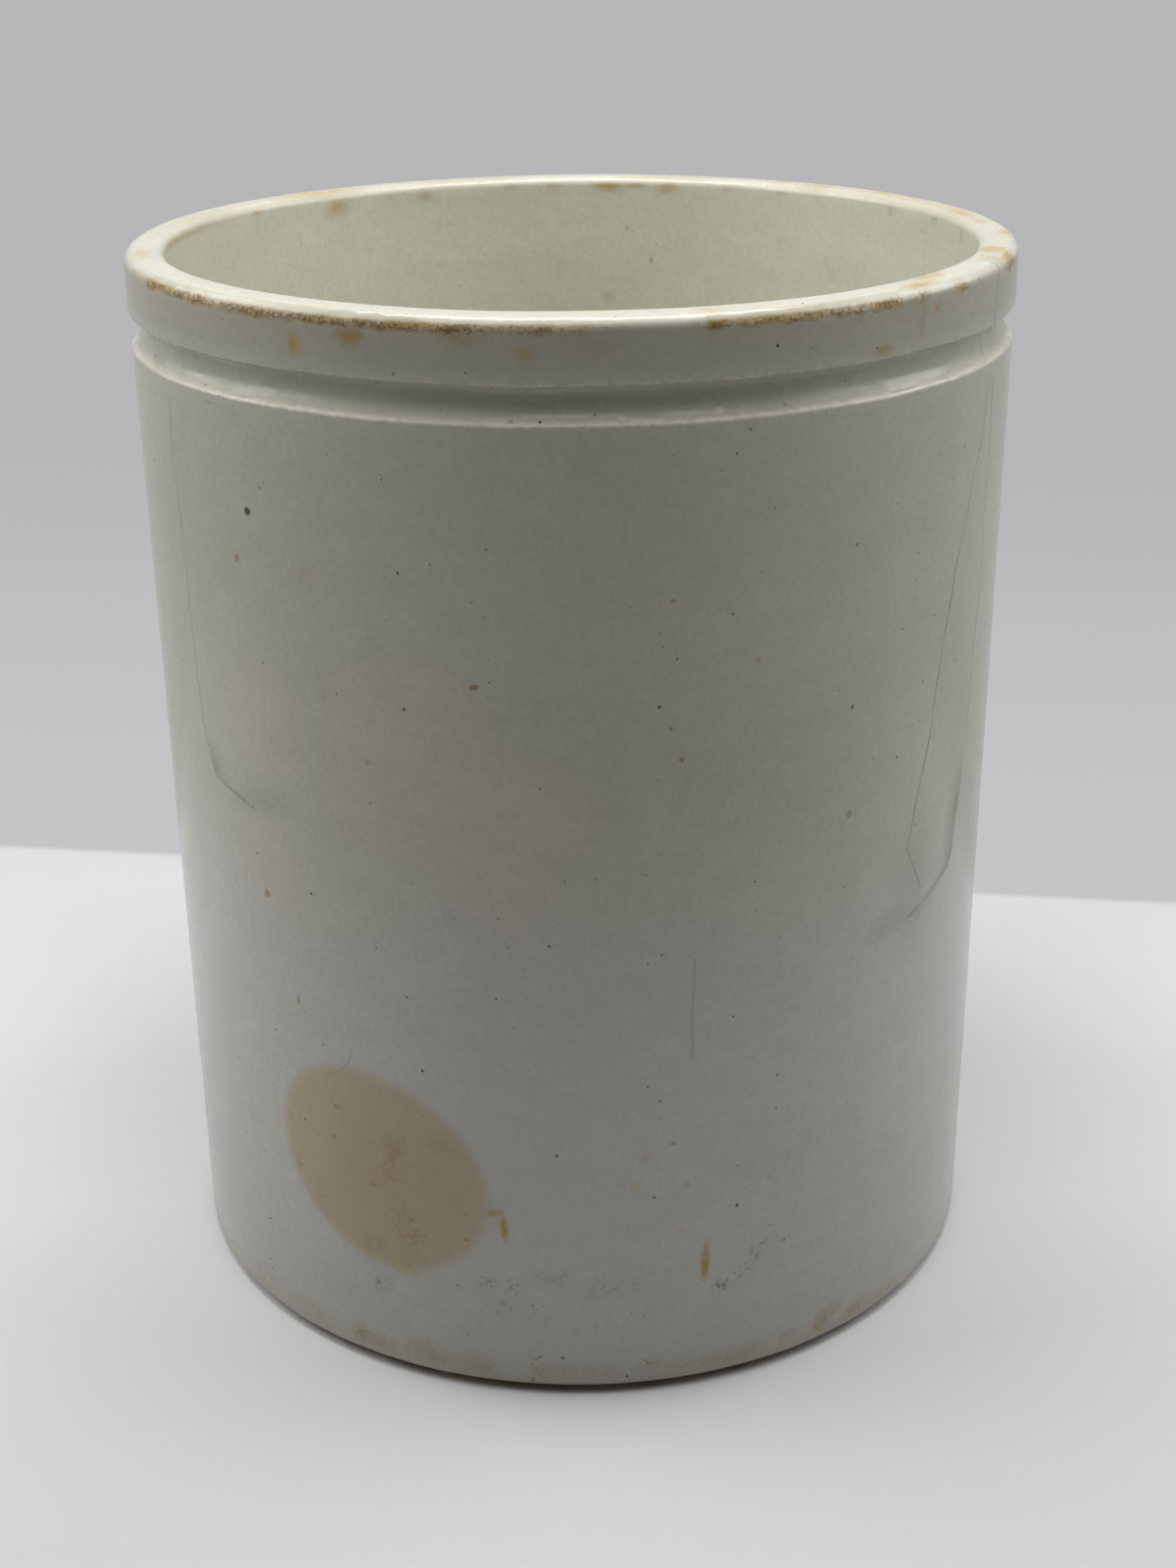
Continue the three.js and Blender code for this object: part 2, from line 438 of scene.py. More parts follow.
# Stains on the rim band, and brown ones along the foot
BAND_STAINS = (
    Blot(-25.5, 135.4, 3.6, 2.6, 1, 0.6), Blot(-12, 136, 5, 2, 0.7, 0.7),
    Blot(2, 135.3, 4.5, 2.4, 0.35, 0.8), Blot(37.6, 131.7, 2.4, 1.2, 0.9, 0.6),
    Blot(44, 134.4, 1.2, 3.8, 0.5, 0.8),
)
FOOT_STAINS = (
    Blot(-52, 3.5, 8, 4, 0.35, 0.7), Blot(-42, 3.6, 8, 3, 0.45, 0.7), Blot(-32, 3.8, 2.6, 3.2, 1, 0.6),
    Blot(-29.5, 3.6, 5, 2, 0.8, 0.7), Blot(-22.6, 5, 4, 1.8, 0.7, 0.7), Blot(-21, 3.6, 7, 1.8, 0.8, 0.7),
    Blot(-15, 3.8, 5, 3, 0.5, 0.7), Blot(-13.7, 3.2, 2.4, 1.8, 1, 0.5), Blot(-5.8, 3.8, 2.4, 1.8, 0.9, 0.5),
    Blot(-2.3, 3.9, 2.4, 1.4, 0.7, 0.6), Blot(1.6, 3.6, 5, 1.6, 0.6, 0.7), Blot(8.8, 4.1, 3, 1.6, 0.8, 0.6),
    Blot(12.2, 3.3, 4, 1.6, 0.6, 0.6), Blot(18.4, 3.2, 8, 2, 0.7, 0.7),
    Blot(22, 3.4, 4, 1.8, 0.9, 0.6, tilt=10), Blot(28.6, 3.7, 2.4, 1.8, 0.8, 0.6),
    Blot(34.2, 3.7, 2.6, 3.6, 1, 0.5), Blot(36.5, 4.9, 2.6, 2.2, 0.8, 0.6),
    Blot(40.4, 3.1, 5, 2.4, 0.9, 0.6, tilt=10), Blot(47, 2.6, 9, 2, 0.6, 0.7),
)

# Marks inside: along the rim's inner edge and on the far wall
INNER_EDGE_STAINS = (
    Blot(-139, 135.8, 4, 2.4, 0.8, 0.7), Blot(-155, 136.2, 2.4, 1.6, 0.7, 0.6),
    Blot(-121.5, 136.8, 2, 1, 0.7, 0.5), Blot(-97, 137, 26, 0.9, 0.7, 0.6),
    Blot(-170, 136.8, 2, 0.9, 0.6, 0.5), Blot(-177, 136.7, 2, 1, 0.7, 0.5),
    Blot(174, 136.6, 5, 1.2, 0.9, 0.5), Blot(169.5, 136.8, 3, 0.9, 0.8, 0.5),
    Blot(164, 136.6, 3.4, 1.3, 1, 0.5), Blot(153.5, 136.9, 1.6, 0.9, 0.6, 0.5),
    Blot(144, 136.7, 1.2, 0.9, 0.6, 0.5), Blot(120.5, 136.5, 1.4, 1.2, 0.7, 0.5),
    Blot(108.4, 136.6, 1.4, 1.2, 0.6, 0.5), Blot(97.4, 136.2, 2, 2, 0.6, 0.6),
)
INSIDE_SPOTS = (
    Blot(174, 120.5, 2, 1.4, 0.3, 0.6), Blot(166.6, 126, 0.8, 0.8, 0.7), Blot(170.8, 130.7, 0.7, 0.6, 0.6),
)

# Tan stains on top of the rim, with the distance from the axis in place of the height
RIM_TOP_STAINS = (
    Blot(116, 53.6, 44, 4.4, 0.45, 0.8), Blot(120, 54.7, 7, 1.8, 1, 0.6), Blot(126, 53.8, 7, 2.4, 0.8, 0.7),
    Blot(104, 53, 8, 2.8, 0.8, 0.7), Blot(96, 53, 5, 2.4, 0.7, 0.7), Blot(86, 54.5, 4, 1.6, 0.9, 0.6),
    Blot(72, 53.2, 5, 3.6, 0.9, 0.6), Blot(66, 54.2, 3, 2.4, 0.7, 0.7), Blot(70, 55.4, 4, 1.2, 1, 0.5),
    Blot(49.5, 52.8, 7, 2, 0.9, 0.6), Blot(45, 54.6, 6, 1.4, 0.9, 0.6), Blot(15.5, 54, 4, 2, 0.6, 0.7),
    Blot(138, 53, 6, 3.4, 0.8, 0.7), Blot(145, 53.6, 4, 2.6, 0.7, 0.7), Blot(164, 52.8, 14, 3, 0.4, 0.8),
    Blot(-163, 52.8, 16, 3, 0.3, 0.8), Blot(-136, 53, 16, 3.4, 0.8, 0.7),
    Blot(-108, 52.6, 20, 2.4, 0.4, 0.8), Blot(-76, 54, 9, 2.4, 0.5, 0.7),
)

# Hairline cracks that run down from the rim, and fine scratches
HAIRLINES = {
    "right_crack": Hairline(0.6, (
        (51.5, 60.6), (47.8, 67.3), (47.1, 69), (48.1, 73), (50.9, 83.6), (53.1, 95), (55, 102.4),
        (58.3, 112), (61, 117), (62.5, 127), (62.5, 133), (63.5, 138))),
    "far_right_crack": Hairline(0.5, (
        (43.6, 57.5), (50, 59), (56.5, 61), (59.2, 62.4), (59.8, 66), (62.3, 78), (63, 90.7),
        (64.5, 96.7), (63.8, 108), (65, 114), (63.2, 126))),
    "left_crack": Hairline(0.4, (
        (-44.6, 74), (-46, 75.5), (-50, 76.4), (-54, 77), (-55.9, 81.7), (-57, 88), (-58.2, 112),
        (-58.5, 126))),
    "upright_scratch": Hairline(0.3, ((14, 48.3), (14, 62))),
    "bent_scratch": Hairline(0.3, ((-39, 40.4), (-33.6, 42.3), (-31.4, 44.7), (-30.3, 48.2))),
    "slanting_scratch": Hairline(0.14, ((-4.2, 41.7), (-10.7, 49))),
    "side_scratch": Hairline(0.6, ((-69.8, 37), (-70.8, 39.7))),
}


class Wear(NamedTuple):
    """A worn stretch of the rim: degrees from the front, about how many degrees it reaches each way and how
    worn it is"""

    turn: float
    reach: float
    amount: float


# A worn stretch has faded out at this many times its reach
WEAR_FADE = 1.3

RIM_WEAR = (
    Wear(-54, 18, 0.55), Wear(-34, 22, 0.6), Wear(-14, 16, 0.6), Wear(28, 17, 0.6), Wear(-58.7, 4.4, 0.9),
    Wear(-52.5, 2.9, 0.95), Wear(-48.7, 1.9, 0.9), Wear(-41.2, 2.6, 1), Wear(-38.6, 1.5, 0.6),
    Wear(-31.6, 2.2, 1), Wear(-29.3, 1.5, 0.8), Wear(-27, 2, 0.9), Wear(-23.2, 2.9, 1), Wear(-17.5, 5, 0.6),
    Wear(-13.1, 1.8, 1), Wear(-3, 8, 0.5), Wear(15.8, 1.3, 1), Wear(21.3, 2.2, 0.75), Wear(27.2, 1.8, 0.8),
    Wear(31, 1.9, 0.8), Wear(34.2, 1.5, 0.75), Wear(37.6, 3.2, 1), Wear(44.2, 1.2, 0.8), Wear(52, 2.4, 0.5),
    Wear(70, 5, 0.6), Wear(116, 34, 0.45), Wear(-140, 26, 0.4), Wear(170, 12, 0.4),
)


def blot(nodes, mark, sheet):
    """How much of a mark there is at each point of the wall or the rim rolled out flat, in millimetres"""
    tilt = math.radians(mark.tilt)
    across = Vector((math.cos(tilt), math.sin(tilt), 0)) * 2 / mark.wide
    upward = Vector((-math.sin(tilt), math.cos(tilt), 0)) * 2 / mark.tall
    offset = nodes.vector("SUBTRACT", sheet, (mark.turn * MM_A_DEGREE, mark.height, 0))
    sideways, up = (nodes.vector("DOT_PRODUCT", offset, axis) for axis in (across, upward))
    away = nodes.vector("LENGTH", nodes.joined(sideways, up))
    return away.fall(1 - mark.soft, 1 + mark.soft, mark.strength)


def blots(nodes, marks, sheet):
    return reduce(Wire.most, [blot(nodes, mark, sheet) for mark in marks])


def beside(hairline, turn, level):
    """Millimetres to the right of a hairline, below 0 to its left, and far away past its ends"""
    points = hairline.points
    course = points[0][0]
    for (turn_0, level_0), (turn_1, level_1) in zip(points, points[1:]):
        course = level.step(level_0, level_1, 0, turn_1 - turn_0, "LINEAR") + course
    low, high = points[0][1], points[-1][1]
    past = level.fall(low - 1, low) + level.rise(high, high + 1)
    return (turn - course) * MM_A_DEGREE + past * FAR_AWAY


def rim_wear(turn):
    """How worn the rim's outer edge is, all round"""
    worn = []
    for stretch in RIM_WEAR:
        away = (turn - stretch.turn).math("ABSOLUTE")
        away = away.least(360 - away)
        worn.append(away.fall(0, stretch.reach * WEAR_FADE, stretch.amount))
    return reduce(Wire.most, worn)


def glaze_marks(nodes, turn, radius, level):
    """The broad marks on the glaze, by name, from degrees round, distance from the axis and height"""
    top_height = GLAZE_HIGH.z / MM
    wall = nodes.joined(turn * MM_A_DEGREE, level)
    rim = nodes.joined(turn * MM_A_DEGREE, radius)
    outside = radius.rise(*WALL_MIDDLE)
    top = level.rise(top_height - 1.2, top_height - 0.5)
    soft_stains = blots(nodes, RIM_TOP_STAINS, rim) * top
    soft_stains = soft_stains.most(blots(nodes, INNER_EDGE_STAINS, wall) * (1 - outside))
    wall_marks = {
        "pink": PINK_CLOUDS, "red": RED_PATCHES, "dirt": GREY_SMEARS, "scuffs": SCUFFS,
        "band_stains": BAND_STAINS, "foot_stains": FOOT_STAINS,
    }
    return {
        **{name: blots(nodes, marks, wall) * outside for name, marks in wall_marks.items()},
        "soft_stains": soft_stains,
        "wear": rim_wear(turn),
        **{name: beside(hairline, turn, level) for name, hairline in HAIRLINES.items()},
    }


def no_marks(nodes, turn, radius, level):
    return {}


# Inputs of the tree that turns a section, by the kind of their sockets
TURNED_INPUTS = {
    "Geometry": ("Geometry",),
    "Int": ("Points", "Sides"),
    "Float": (
        "Height", "Rim radius", "Lobe", "Rim wave", "Groove wave", "Ripple", "Chip", "Edge wear",
        "Foot line", "Foot wave", "Seed"),
    "Material": ("Material",),
}

# Sizes of the noise that makes the turned shape uneven, and what starts it
RIPPLE_SIZE = 22 * MM
RIM_WAVE_SIZE = 34 * MM
GROOVE_WAVE_SIZE = 11 * MM
FOOT_WAVE_SIZE = 9 * MM
NICK_SIZE = 2.4 * MM
SEED = 2.4

# Heights from the rim over which the groove's wave comes in and goes out
GROOVE_WAVE_IN = (-15 * MM, -11.5 * MM)
GROOVE_WAVE_OUT = (-7.4 * MM, -6.2 * MM)

# The worn edge lies this far under the rim's top, and its wear fades out over these distances
EDGE_DROP = 0.5 * MM
EDGE_FADE = (0.4 * MM, 1.3 * MM)

# Edges that turn more than this are shaded as corners, and points closer than this are joined
CREASE_ANGLE = math.radians(40)
WELD_DISTANCE = 1e-6


def turned_tree(name, marks):
    """Geometry Nodes that spin a section round the jar's axis and make it slightly uneven, as a thrown pot
    is. The section's X is the distance from the axis, its Z the height and its Y the place up the UV map"""
    tree = bpy.data.node_groups.new(name, "GeometryNodeTree")
    tree.interface.new_socket("Geometry", in_out="OUTPUT", socket_type="NodeSocketGeometry")
    for kind, titles in TURNED_INPUTS.items():
        for title in titles:
            tree.interface.new_socket(title, in_out="INPUT", socket_type="NodeSocket" + kind)
    nodes = Nodes(tree)
    given = nodes.node("NodeGroupInput")
    points, sides, seed = given.also("Points"), given.also("Sides"), given.also("Seed")
    height, rim_radius, foot_line = given.also("Height"), given.also("Rim radius"), given.also("Foot line")

    # A flat sheet with one column for each side and one row for each point of the section
    grid = nodes.node("GeometryNodeMeshGrid", {"Vertices X": sides + 1, "Vertices Y": points})
    index = nodes.node("GeometryNodeInputIndex")
    column = ((index + 0.5) / points).math("FLOOR")
    row = index - column * points
    around = column / sides
    turn = around * 360 - 180
    angle = turn * math.radians(1)
    position = nodes.node("GeometryNodeInputPosition")
    sampled = {"Geometry": given.also("Geometry"), "Value": position, "Index": row}
    at_row = nodes.node("GeometryNodeSampleIndex", sampled, data_type="FLOAT_VECTOR")
    place = nodes.node("ShaderNodeSeparateXYZ", {"Vector": at_row})
    radius, level = place, place.also("Z")

    def spun(out, up):
        return nodes.joined(out * angle.math("SINE"), -out * angle.math("COSINE"), up)

    # Unevenness that fades out at the axis and at the foot
    ring = nodes.vector("ADD", spun(rim_radius, level), nodes.joined(z=seed))
    upper = level / height
    lobes = (angle * 2 + seed).math("COSINE") + (angle * 3 + seed * 2).math("COSINE") * 0.6
    ripples = nodes.noise(nodes.vector("MULTIPLY", ring, (1, 1, 2.2)), RIPPLE_SIZE) - 0.5
    swell = lobes * given.also("Lobe") * upper + ripples * given.also("Ripple") * 2
    swell = swell * (radius / rim_radius) * upper.rise(0.01, 0.1)
    waves = nodes.noise(nodes.vector("MULTIPLY", ring, (1, 1, 0)), RIM_WAVE_SIZE, 1.0) - 0.5
    lift = waves * given.also("Rim wave") * 2 * upper.rise(0.85, 1.0)
    in_groove = (level - height).rise(*GROOVE_WAVE_IN) * (level - height).fall(*GROOVE_WAVE_OUT)
    lift = lift + (nodes.noise(ring, GROOVE_WAVE_SIZE) - 0.5) * given.also("Groove wave") * 2 * in_groove
    near_line = level.fall(foot_line * 1.1, foot_line * 2.2)
    lift = lift + (nodes.noise(ring, FOOT_WAVE_SIZE) - 0.5) * given.also("Foot wave") * 2 * near_line

    # Nicks along the rim's outer edge, where it is worn
    worn_edge = nodes.joined(rim_radius, height - EDGE_DROP)
    edge = nodes.vector("DISTANCE", nodes.joined(radius, level), worn_edge)
    wear = rim_wear(turn)
    nicks = (nodes.noise(ring, NICK_SIZE, 2.0, 0.6) + wear * 0.16).rise(0.62, 0.76) * given.also("Chip")
    cut = (nicks + wear * given.also("Edge wear")) * edge.fall(*EDGE_FADE)
    shaped = spun(radius + swell - cut, level + lift - cut * 0.6)

    wrap = {"Geometry": grid, "Name": WRAP_MAP, "Value": nodes.joined(around, place.also("Y"))}
    mapped = nodes.node("GeometryNodeStoreNamedAttribute", wrap, data_type="FLOAT2", domain="CORNER")
    turned = nodes.node("GeometryNodeSetPosition", {"Geometry": mapped, "Position": shaped})
    for mark, value in marks(nodes, turn, radius / MM, level / MM).items():
        carried = {"Geometry": turned, "Name": mark, "Value": value}
        turned = nodes.node("GeometryNodeStoreNamedAttribute", carried, data_type="FLOAT", domain="POINT")
    closed = nodes.node("GeometryNodeMergeByDistance", {"Geometry": turned, "Distance": WELD_DISTANCE})
    smooth = nodes.node("GeometryNodeSetShadeSmooth", {"Geometry": closed})
    corner_edges = nodes.node("GeometryNodeInputMeshEdgeAngle").math("GREATER_THAN", CREASE_ANGLE)
    sharp = {"Geometry": smooth, "Selection": corner_edges, "Shade Smooth": False}
    creased = nodes.node("GeometryNodeSetShadeSmooth", sharp, domain="EDGE")
    real = nodes.node("GeometryNodeRealizeInstances", {"Geometry": creased})
    finish = given.also("Material")
    dressed = nodes.node("GeometryNodeSetMaterial", {"Geometry": real, "Material": finish})
    nodes.node("NodeGroupOutput", {"Geometry": dressed})
    return tree


def map_rows(runs):
    """How far up the UV map each point of a section lies, from runs of points and the room they get"""
    steps = [0.0]
    for points, room in runs:
        steps.extend((b - a).length * room for a, b in zip(points, points[1:]))
    total = sum(steps)
    return [sum(steps[:i + 1]) / total for i in range(len(steps))]


def new_object(name, data):
    """An object in the scene"""
    made = bpy.data.objects.new(name, data)
    bpy.context.scene.collection.objects.link(made)
    return made


def turned_piece(name, runs, marks, sizes, material, **extra):
    """Spins a section into a plain mesh object that carries the marks"""
    section = [runs[0][0][0]]
    for points, _ in runs:
        section.extend(points[1:])
    outline = bpy.data.meshes.new(name + "_section")
    outline.from_pydata([(p.x, row, p.y) for p, row in zip(section, map_rows(runs))], [], [])
    maker = new_object(name + "_maker", outline)
    modifier = maker.modifiers.new("turned", "NODES")
    modifier.node_group = turned_tree(name + "_turned", marks)
    values = {
        "Points": len(section), "Sides": sizes.sides, "Height": sizes.height, "Rim radius": sizes.rim_radius,
        "Lobe": sizes.lobe, "Rim wave": sizes.rim_wave, "Groove wave": sizes.groove_wave,
        "Ripple": sizes.ripple, "Foot line": sizes.glaze_line, "Seed": SEED, "Material": material, **extra,
    }
    for socket in modifier.node_group.interface.items_tree:
        if socket.in_out == "INPUT" and socket.name in values:
            modifier[socket.identifier] = values[socket.name]
    graph = bpy.context.evaluated_depsgraph_get()
    mesh = bpy.data.meshes.new_from_object(maker.evaluated_get(graph))
    mesh.name = name
    maker.modifiers.remove(modifier)
    bpy.data.objects.remove(maker)
    bpy.data.meshes.remove(outline)
    piece = new_object(name, mesh)
    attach(piece, "root")
    return piece


# In millimetres: a hairline's width, and the noise that bends hairlines and the one that frays other marks
HAIRLINE_WIDTH = 0.34
BEND_SIZE, BEND_REACH = 8, 1.8
RAGGED_SIZE, RAGGED_REACH = 1.3, 0.5


class Painter:
    """Places on the jar, in millimetres, and what is painted there"""

    def __init__(self, nodes):
        self.nodes = nodes
        self.place = nodes.scaled(nodes.node("ShaderNodeTexCoord", output="Object"), 1 / MM)
        axes = nodes.node("ShaderNodeSeparateXYZ", {"Vector": self.place})
        x, y, self.z = axes, axes.also("Y"), axes.also("Z")
        self.radius = (x * x + y * y).math("SQRT")
        arc = x.math("ARCTAN2", -y) * (GLAZE_HIGH.x / MM)
        shift = nodes.noise(self.place, RAGGED_SIZE).also("Color")
        ragged = nodes.scaled(nodes.vector("SUBTRACT", shift, (0.5, 0.5, 0.5)), RAGGED_REACH)
        self.wall = nodes.vector("ADD", nodes.joined(arc, self.z), ragged)

    def mark(self, name):
        """A mark that the mesh carries"""
        return self.nodes.node("ShaderNodeAttribute", output="Fac", attribute_name=name)

    def on_wall(self, *marks):
        return blots(self.nodes, marks, self.wall)

    def hairlines(self):
        bend = (self.nodes.noise(self.place, BEND_SIZE, 4.0, 0.6) - 0.5) * BEND_REACH
        shown = []
        for name, hairline in HAIRLINES.items():
            away = (self.mark(name) + bend).math("ABSOLUTE")
            shown.append(away.fall(HAIRLINE_WIDTH * 0.25, HAIRLINE_WIDTH * 0.75, hairline.strength))
        return reduce(Wire.most, shown)

    def specks(self, cell, size):
        """Dots of many sizes scattered at random, about one in each cell that the surface cuts"""
        inputs = {"Vector": self.place, "Scale": 1 / cell}
        cells = self.nodes.node("ShaderNodeTexVoronoi", inputs, "Distance")
        chance = self.nodes.node("ShaderNodeSeparateColor", {"Color": cells.also("Color")})
        return (cells * (cell / size) - chance * 0.5).fall(-0.1, 0.1) * chance.also("Green").rise(0.35, 0.9)

    def drift(self, name, reach, low, high):
        """Dirt that lies against one side of a hairline, to its right if reach is above 0"""
        away = self.mark(name) / reach
        between = self.z.rise(low, low + 3) * self.z.fall(high - 6, high)
        return away.rise(-0.03, 0.03) * away.fall(0, 1) * between


def new_finish(name):
    """An empty material and its node tree"""
    material = bpy.data.materials.new(name)
    material.use_nodes = True
    material.node_tree.nodes.clear()
    return material, Nodes(material.node_tree)


class GlazeLooks(bpy.types.PropertyGroup):
    """Colours and gloss of the glaze"""

    outside: shade("Outside", "Glaze on the wall", (0.53, 0.53, 0.425))
    low: shade("Low", "Glaze low on the wall", (0.555, 0.55, 0.492))
    # Painted shade: the rim band's glaze is a darker copy of the wall's glaze
    band: shade("Band", "Glaze on the handled rim band", (0.455, 0.445, 0.368))
    inside: shade("Inside", "Glaze inside", (0.62, 0.615, 0.51))
    rim: shade("Rim", "Glaze on the rim's top", (0.60, 0.59, 0.49))
    pink: shade("Pink", "Warmer clouds in the wall", (0.575, 0.53, 0.455))
    tan: shade("Tan", "The oval stain", (0.50, 0.413, 0.26))
    red: shade("Red", "Redder patches in the oval stain", (0.36, 0.24, 0.125))
    yellow: shade("Yellow", "Smears on the wall and the rim band", (0.45, 0.295, 0.05))
    stain: shade("Stain", "Stains at the foot and the rim", (0.42, 0.30, 0.13))
    iron: shade("Iron", "Iron spots", (0.36, 0.25, 0.13))
    # Pale thin glaze on sharp edges, partly a painted highlight on the band's lower edge and the shoulder's
    # lip, and the colour of the painted glints
    thin_glaze_and_highlight: shade("Thin", "Thin glaze on sharp edges", (0.70, 0.67, 0.57))
    worn: shade("Worn", "Worn edge of the rim", (0.39, 0.265, 0.085))
    grime: shade("Grime", "Dirt in the worn edge", (0.14, 0.09, 0.03))
    dark: shade("Dark", "Specks and pinholes", (0.07, 0.06, 0.04))
    grey: shade("Grey", "Dirt and scuffs", (0.25, 0.24, 0.19))
    crack: shade("Crack", "Hairline cracks", (0.13, 0.12, 0.095))
    roughness: fraction("Roughness", "Of the clean glaze", 0.2)


# Sizes of the noise in the glaze, in millimetres
GRIT_SIZE = 0.45
GRAIN_SIZE = 0.8
BREAK_SIZE = 1.6
STREAK_SIZE = 3.4
DIMPLE_SIZE = 5.0
PATCH_SIZE = 7
CLOUD_SIZE = 24

# Heights, in millimetres, over which the glaze turns bluer, and the foot's film and stains fade out
BLUER_WALL = (66, 90)
FOOT_FILM = (1.2, 4.5)
LOW_STAINS = (2, 6)


def glaze_finish(looks, sizes):
    """The clean glaze of the wall, with masks that say where the other colours lie on it"""
    material, nodes = new_finish("glaze")
    paint = Painter(nodes)
    place, z, radius = paint.place, paint.z, paint.radius
    rim_height, rim_radius = sizes.height / MM, sizes.rim_radius / MM
    band_bottom = rim_height - sizes.band_height / MM
    shoulder = band_bottom - sizes.groove_height / MM
    grit = nodes.noise(place, GRIT_SIZE, 3.0, 0.65)
    grain = nodes.noise(place, GRAIN_SIZE, 3.0, 0.65)
    broken = nodes.noise(place, BREAK_SIZE, 4.0, 0.7)
    streaks = nodes.noise(nodes.vector("MULTIPLY", place, (0.5, 0.5, 1)), STREAK_SIZE, 3.0, 0.6)
    patches = nodes.noise(place, PATCH_SIZE)
    clouds = nodes.noise(place, CLOUD_SIZE, 3.0)
    mottle = streaks * 0.4 + grain * 0.6
    outside = radius.rise(*WALL_MIDDLE)
    top = z.rise(rim_height - 1.5, rim_height - 0.4)

    # Clean glaze, which is thin on the edges of the band and the shoulder; these pale edges are partly a
    # painted highlight, the two pale spots there are painted glints, and the rim band's darker glaze is
    # painted shade
    low = (z + clouds * 20).fall(*BLUER_WALL)
    pink = paint.mark("pink") * clouds.step(0.3, 0.6, 0.5, 1)
    # The rim band's glaze, darker than the wall's: painted shade
    band = z.rise(band_bottom, band_bottom + 2.4)
    # Pale edges, partly thin glaze and partly painted highlight: the band's lower edge and the shoulder's
    # lip
    band_edge = (z - band_bottom).math("ABSOLUTE").fall(0.1, 0.5) * broken.rise(0.4, 0.6)
    shoulder_edge = (z - shoulder).rise(-0.5, 0) * (z - shoulder).fall(0.2, 1.3)
    thin_glaze_and_highlight = band_edge.most(shoulder_edge * broken.step(0.35, 0.6, 0.5, 1))
    thin_glaze_and_highlight = thin_glaze_and_highlight * radius.rise(rim_radius - 1.6, rim_radius - 0.3)
    # Two painted glints on glaze bubbles at the shoulder
    painted_glints = paint.on_wall(*PAINTED_GLINTS) * outside

    # Stains
    oval = paint.on_wall(TAN_OVAL) * outside * clouds.step(0.3, 0.7, 0.85, 1)
    redder = paint.mark("red") * mottle.step(0.45, 0.57, 0.25, 1)
    soft = (z.fall(*FOOT_FILM, 0.25) * outside).most(paint.mark("soft_stains"))
    low_stains = z.fall(*LOW_STAINS) * mottle.rise(0.54, 0.66, 0.5)
    foot_stains = low_stains.most(paint.mark("foot_stains")) * outside
    stained = (soft * broken.step(0.36, 0.58, 0.6, 1)).most(foot_stains * grain.step(0.42, 0.58, 0.3, 0.7))
    spots_inside = paint.on_wall(*INSIDE_SPOTS) * (1 - outside)

    # The rim's worn outer edge: a tan film, and dark grains in it
    past_edge = z - radius + (rim_radius - rim_height + sizes.rim_rounding / MM - 0.5)
    ragged_edge = past_edge + (broken - 0.5) * 1.6
    wear = paint.mark("wear")
    worn = (wear + broken * 0.9 - 0.45).rise(0.05, 0.6) * outside
    film = ragged_edge.rise(-1.3, -0.1).most(z.rise(rim_height - 4, rim_height - 1.5, 0.2))
    film = film * past_edge.fall(0.2, 1.1).most(past_edge.fall(0.6, 2.4, 0.3)) * worn
    film = film.most(paint.mark("band_stains")) * streaks.step(0.34, 0.6, 0.6, 1)
    grains = ragged_edge.rise(-0.9, -0.2) * ragged_edge.fall(0.2, 0.9) * outside
    grains = grains * (grit * 0.6 + broken * 0.4 + wear * 0.24).rise(0.57, 0.75)

    # Smears, dirt, cracks, scuffs and specks
    smears = paint.on_wall(*YELLOW_SMEARS) * outside * mottle.step(0.4, 0.6, 0.6, 1)
    drifts = paint.drift("far_right_crack", -5, 56, 78).most(paint.drift("left_crack", 5, 73, 84))
    dirt = drifts.most(paint.mark("dirt")) * streaks.step(0.3, 0.7, 0.4, 0.8)
    dirt = dirt.most(paint.on_wall(GREY_SPOT)) * outside
    lines = paint.hairlines() * mottle.step(0.42, 0.56, 0.5, 1) * patches.step(0.38, 0.56, 0.5, 1)
    along = nodes.vector("DOT_PRODUCT", paint.wall, (0.82, 0.57, 0)) * 0.3
    across = nodes.vector("DOT_PRODUCT", paint.wall, (-0.57, 0.82, 0))
    scratches = nodes.noise(nodes.joined(along, across), 0.6, 3.0, 0.6)
    scuffs = paint.mark("scuffs") * scratches.most(grain).rise(0.53, 0.64)
    iron = paint.on_wall(*IRON_SPOTS).most(paint.specks(2.4, 0.75) * oval)
    iron = iron.most(paint.specks(6, 0.75) * 0.8).most(foot_stains * grit.rise(0.5, 0.62, 0.6)) * outside
    pits = paint.specks(3.2, 0.48).most(paint.specks(1.6, 0.36) * 0.7) * outside.step(0, 1, 0.4, 1)
    pits = pits.most(paint.on_wall(PINHOLE) * outside)

    # The colours, laid one over the other
    colour = looks.outside
    for mask, over in (
        (low, looks.low), (pink, looks.pink), (band, looks.band), (thin_glaze_and_highlight.most(painted_glints), looks.thin_glaze_and_highlight),
        (1 - outside, looks.inside), (top, looks.rim), (oval, looks.tan), (redder, looks.red),
        (stained.most(spots_inside), looks.stain), (film, looks.worn), (grains, looks.grime),
        (smears, looks.yellow), (dirt, looks.grey), (lines.most(scuffs * 0.7) * outside, looks.crack),
        (iron, looks.iron), (pits, looks.dark),
    ):
        colour = nodes.mix(mask, colour, over)
    tone = (grain - 0.5) * 0.3 + (streaks - 0.5) * 0.14 + (clouds - 0.5) * 0.14 + 1

